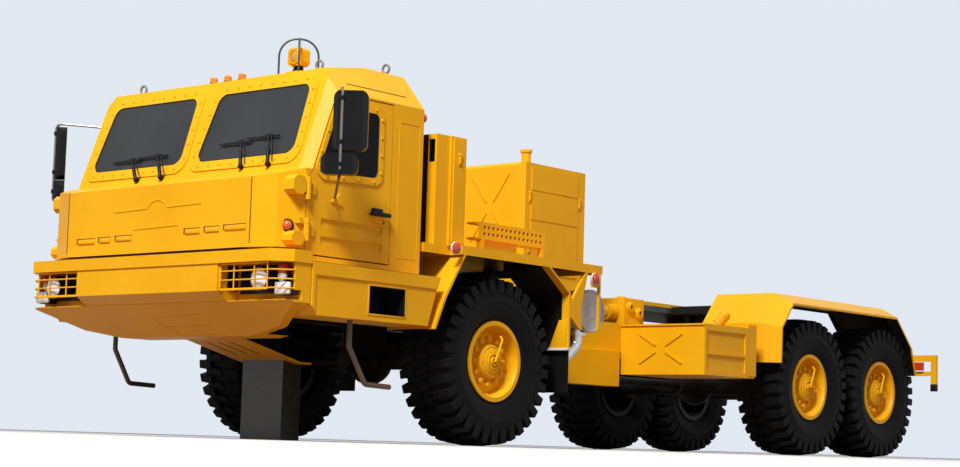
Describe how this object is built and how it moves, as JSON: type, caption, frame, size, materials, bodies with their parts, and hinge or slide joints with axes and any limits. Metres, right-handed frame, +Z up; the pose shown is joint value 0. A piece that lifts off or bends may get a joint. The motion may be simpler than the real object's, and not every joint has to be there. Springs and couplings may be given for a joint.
{
  "type": "off-road tractor truck display model",
  "caption": "Yellow heavy off-road tractor truck as a display model, with a flat-faced cab, steered front wheels, a hood behind the cab and a fifth wheel over the rear axles.",
  "frame": {"origin": "centre of the footprint at ground level, under the middle of the bounding box", "axes": "+Z up; +Y runs to the tail, so the nose faces -Y; +X is the truck's left side"},
  "size_m": [0.3518, 1.0354, 0.3093],
  "materials": {
    "yellow_paint": "satin chrome-yellow paint on sheet",
    "tyre_rubber": "matt black rubber",
    "dark_glass": "smoked glazing, almost opaque",
    "black_plastic": "satin black plastic",
    "black_rubber": "matt black rubber sheet",
    "dark_steel": "dark painted steel",
    "bright_steel": "bare bright steel",
    "grey_plastic": "plain grey acrylic block",
    "grey_paint": "light grey paint",
    "lamp_glass": "clear moulded lens",
    "amber_lens": "moulded red and amber lenses"
  },
  "bodies": {
    "chassis": {"access_steps": "bright_steel", "air_intakes": "yellow_paint", "belly_pan": "yellow_paint", "cab_roof": "yellow_paint", "cab_shell": "yellow_paint", "dashboard": "black_plastic", "deck": "yellow_paint", "drive_line": "dark_steel", "engine_hood": "yellow_paint", "exhaust_outlet": "bright_steel", "fifth_wheel": "dark_steel", "front_axle": "dark_steel", "front_bumper": "yellow_paint", "front_lamps": "lamp_glass", "hinge_caps": "yellow_paint", "hood_steps": "yellow_paint", "hydraulic_pump": "yellow_paint", "ladder_frame": "yellow_paint", "lamp_grilles": "yellow_paint", "leaf_springs": "dark_steel", "marker_lamps": "amber_lens", "middle_axle": "dark_steel", "mud_flaps": "black_rubber", "muffler": "grey_paint", "rear_axle": "dark_steel", "rear_fenders": "yellow_paint", "roof_fittings": "yellow_paint", "screen_frames": "yellow_paint", "searchlight": "yellow_paint", "searchlight_guard": "bright_steel", "seats": "black_plastic", "side_tanks": "yellow_paint", "steering_wheel": "black_plastic", "step_boxes": "yellow_paint", "stowage_boxes": "yellow_paint", "support_block": "grey_plastic", "tail_frame": "yellow_paint", "wheel_arches": "yellow_paint", "windscreen": "dark_glass", "wipers": "black_plastic"},
    "knuckle_left": {"knuckle_left": "dark_steel"},
    "knuckle_right": {"knuckle_right": "dark_steel"},
    "wheel_front_left": {"rim_front_left": "yellow_paint", "tyre_front_left": "tyre_rubber"},
    "wheel_front_right": {"rim_front_right": "yellow_paint", "tyre_front_right": "tyre_rubber"},
    "wheel_middle_left": {"rim_middle_left": "yellow_paint", "tyre_middle_left": "tyre_rubber"},
    "wheel_middle_right": {"rim_middle_right": "yellow_paint", "tyre_middle_right": "tyre_rubber"},
    "wheel_rear_left": {"rim_rear_left": "yellow_paint", "tyre_rear_left": "tyre_rubber"},
    "wheel_rear_right": {"rim_rear_right": "yellow_paint", "tyre_rear_right": "tyre_rubber"},
    "door_left": {"door_left": "yellow_paint", "door_glass_left": "dark_glass", "mirror_left": "black_plastic"},
    "door_right": {"door_right": "yellow_paint", "door_glass_right": "dark_glass", "mirror_right": "black_plastic"}
  },
  "joints": [
    {"name": "steer_left", "type": "hinge", "parent": "chassis", "child": "knuckle_left", "pos_m": [0.104, -0.26835, 0.0675], "axis": [0, 0, 1], "range_deg": [-30, 30]},
    {"name": "steer_right", "type": "hinge", "parent": "chassis", "child": "knuckle_right", "pos_m": [-0.104, -0.26835, 0.0675], "axis": [0, 0, 1], "range_deg": [-30, 30]},
    {"name": "roll_front_left", "type": "hinge", "parent": "knuckle_left", "child": "wheel_front_left", "pos_m": [0.1165, -0.26835, 0.0675], "axis": [1, 0, 0], "continuous": true},
    {"name": "roll_front_right", "type": "hinge", "parent": "knuckle_right", "child": "wheel_front_right", "pos_m": [-0.1165, -0.26835, 0.0675], "axis": [1, 0, 0], "continuous": true},
    {"name": "roll_middle_left", "type": "hinge", "parent": "chassis", "child": "wheel_middle_left", "pos_m": [0.1165, 0.22065, 0.0675], "axis": [1, 0, 0], "continuous": true},
    {"name": "roll_middle_right", "type": "hinge", "parent": "chassis", "child": "wheel_middle_right", "pos_m": [-0.1165, 0.22065, 0.0675], "axis": [1, 0, 0], "continuous": true},
    {"name": "roll_rear_left", "type": "hinge", "parent": "chassis", "child": "wheel_rear_left", "pos_m": [0.1165, 0.36265, 0.0675], "axis": [1, 0, 0], "continuous": true},
    {"name": "roll_rear_right", "type": "hinge", "parent": "chassis", "child": "wheel_rear_right", "pos_m": [-0.1165, 0.36265, 0.0675], "axis": [1, 0, 0], "continuous": true},
    {"name": "open_door_left", "type": "hinge", "parent": "chassis", "child": "door_left", "pos_m": [0.1362, -0.48385, 0.19], "axis": [0, 0, -1], "range_deg": [0, 70]},
    {"name": "open_door_right", "type": "hinge", "parent": "chassis", "child": "door_right", "pos_m": [-0.1362, -0.48385, 0.19], "axis": [0, 0, 1], "range_deg": [0, 70]}
  ],
  "couplings": [
    {"joint": "steer_right", "follows": "steer_left", "ratio": 1}
  ]
}
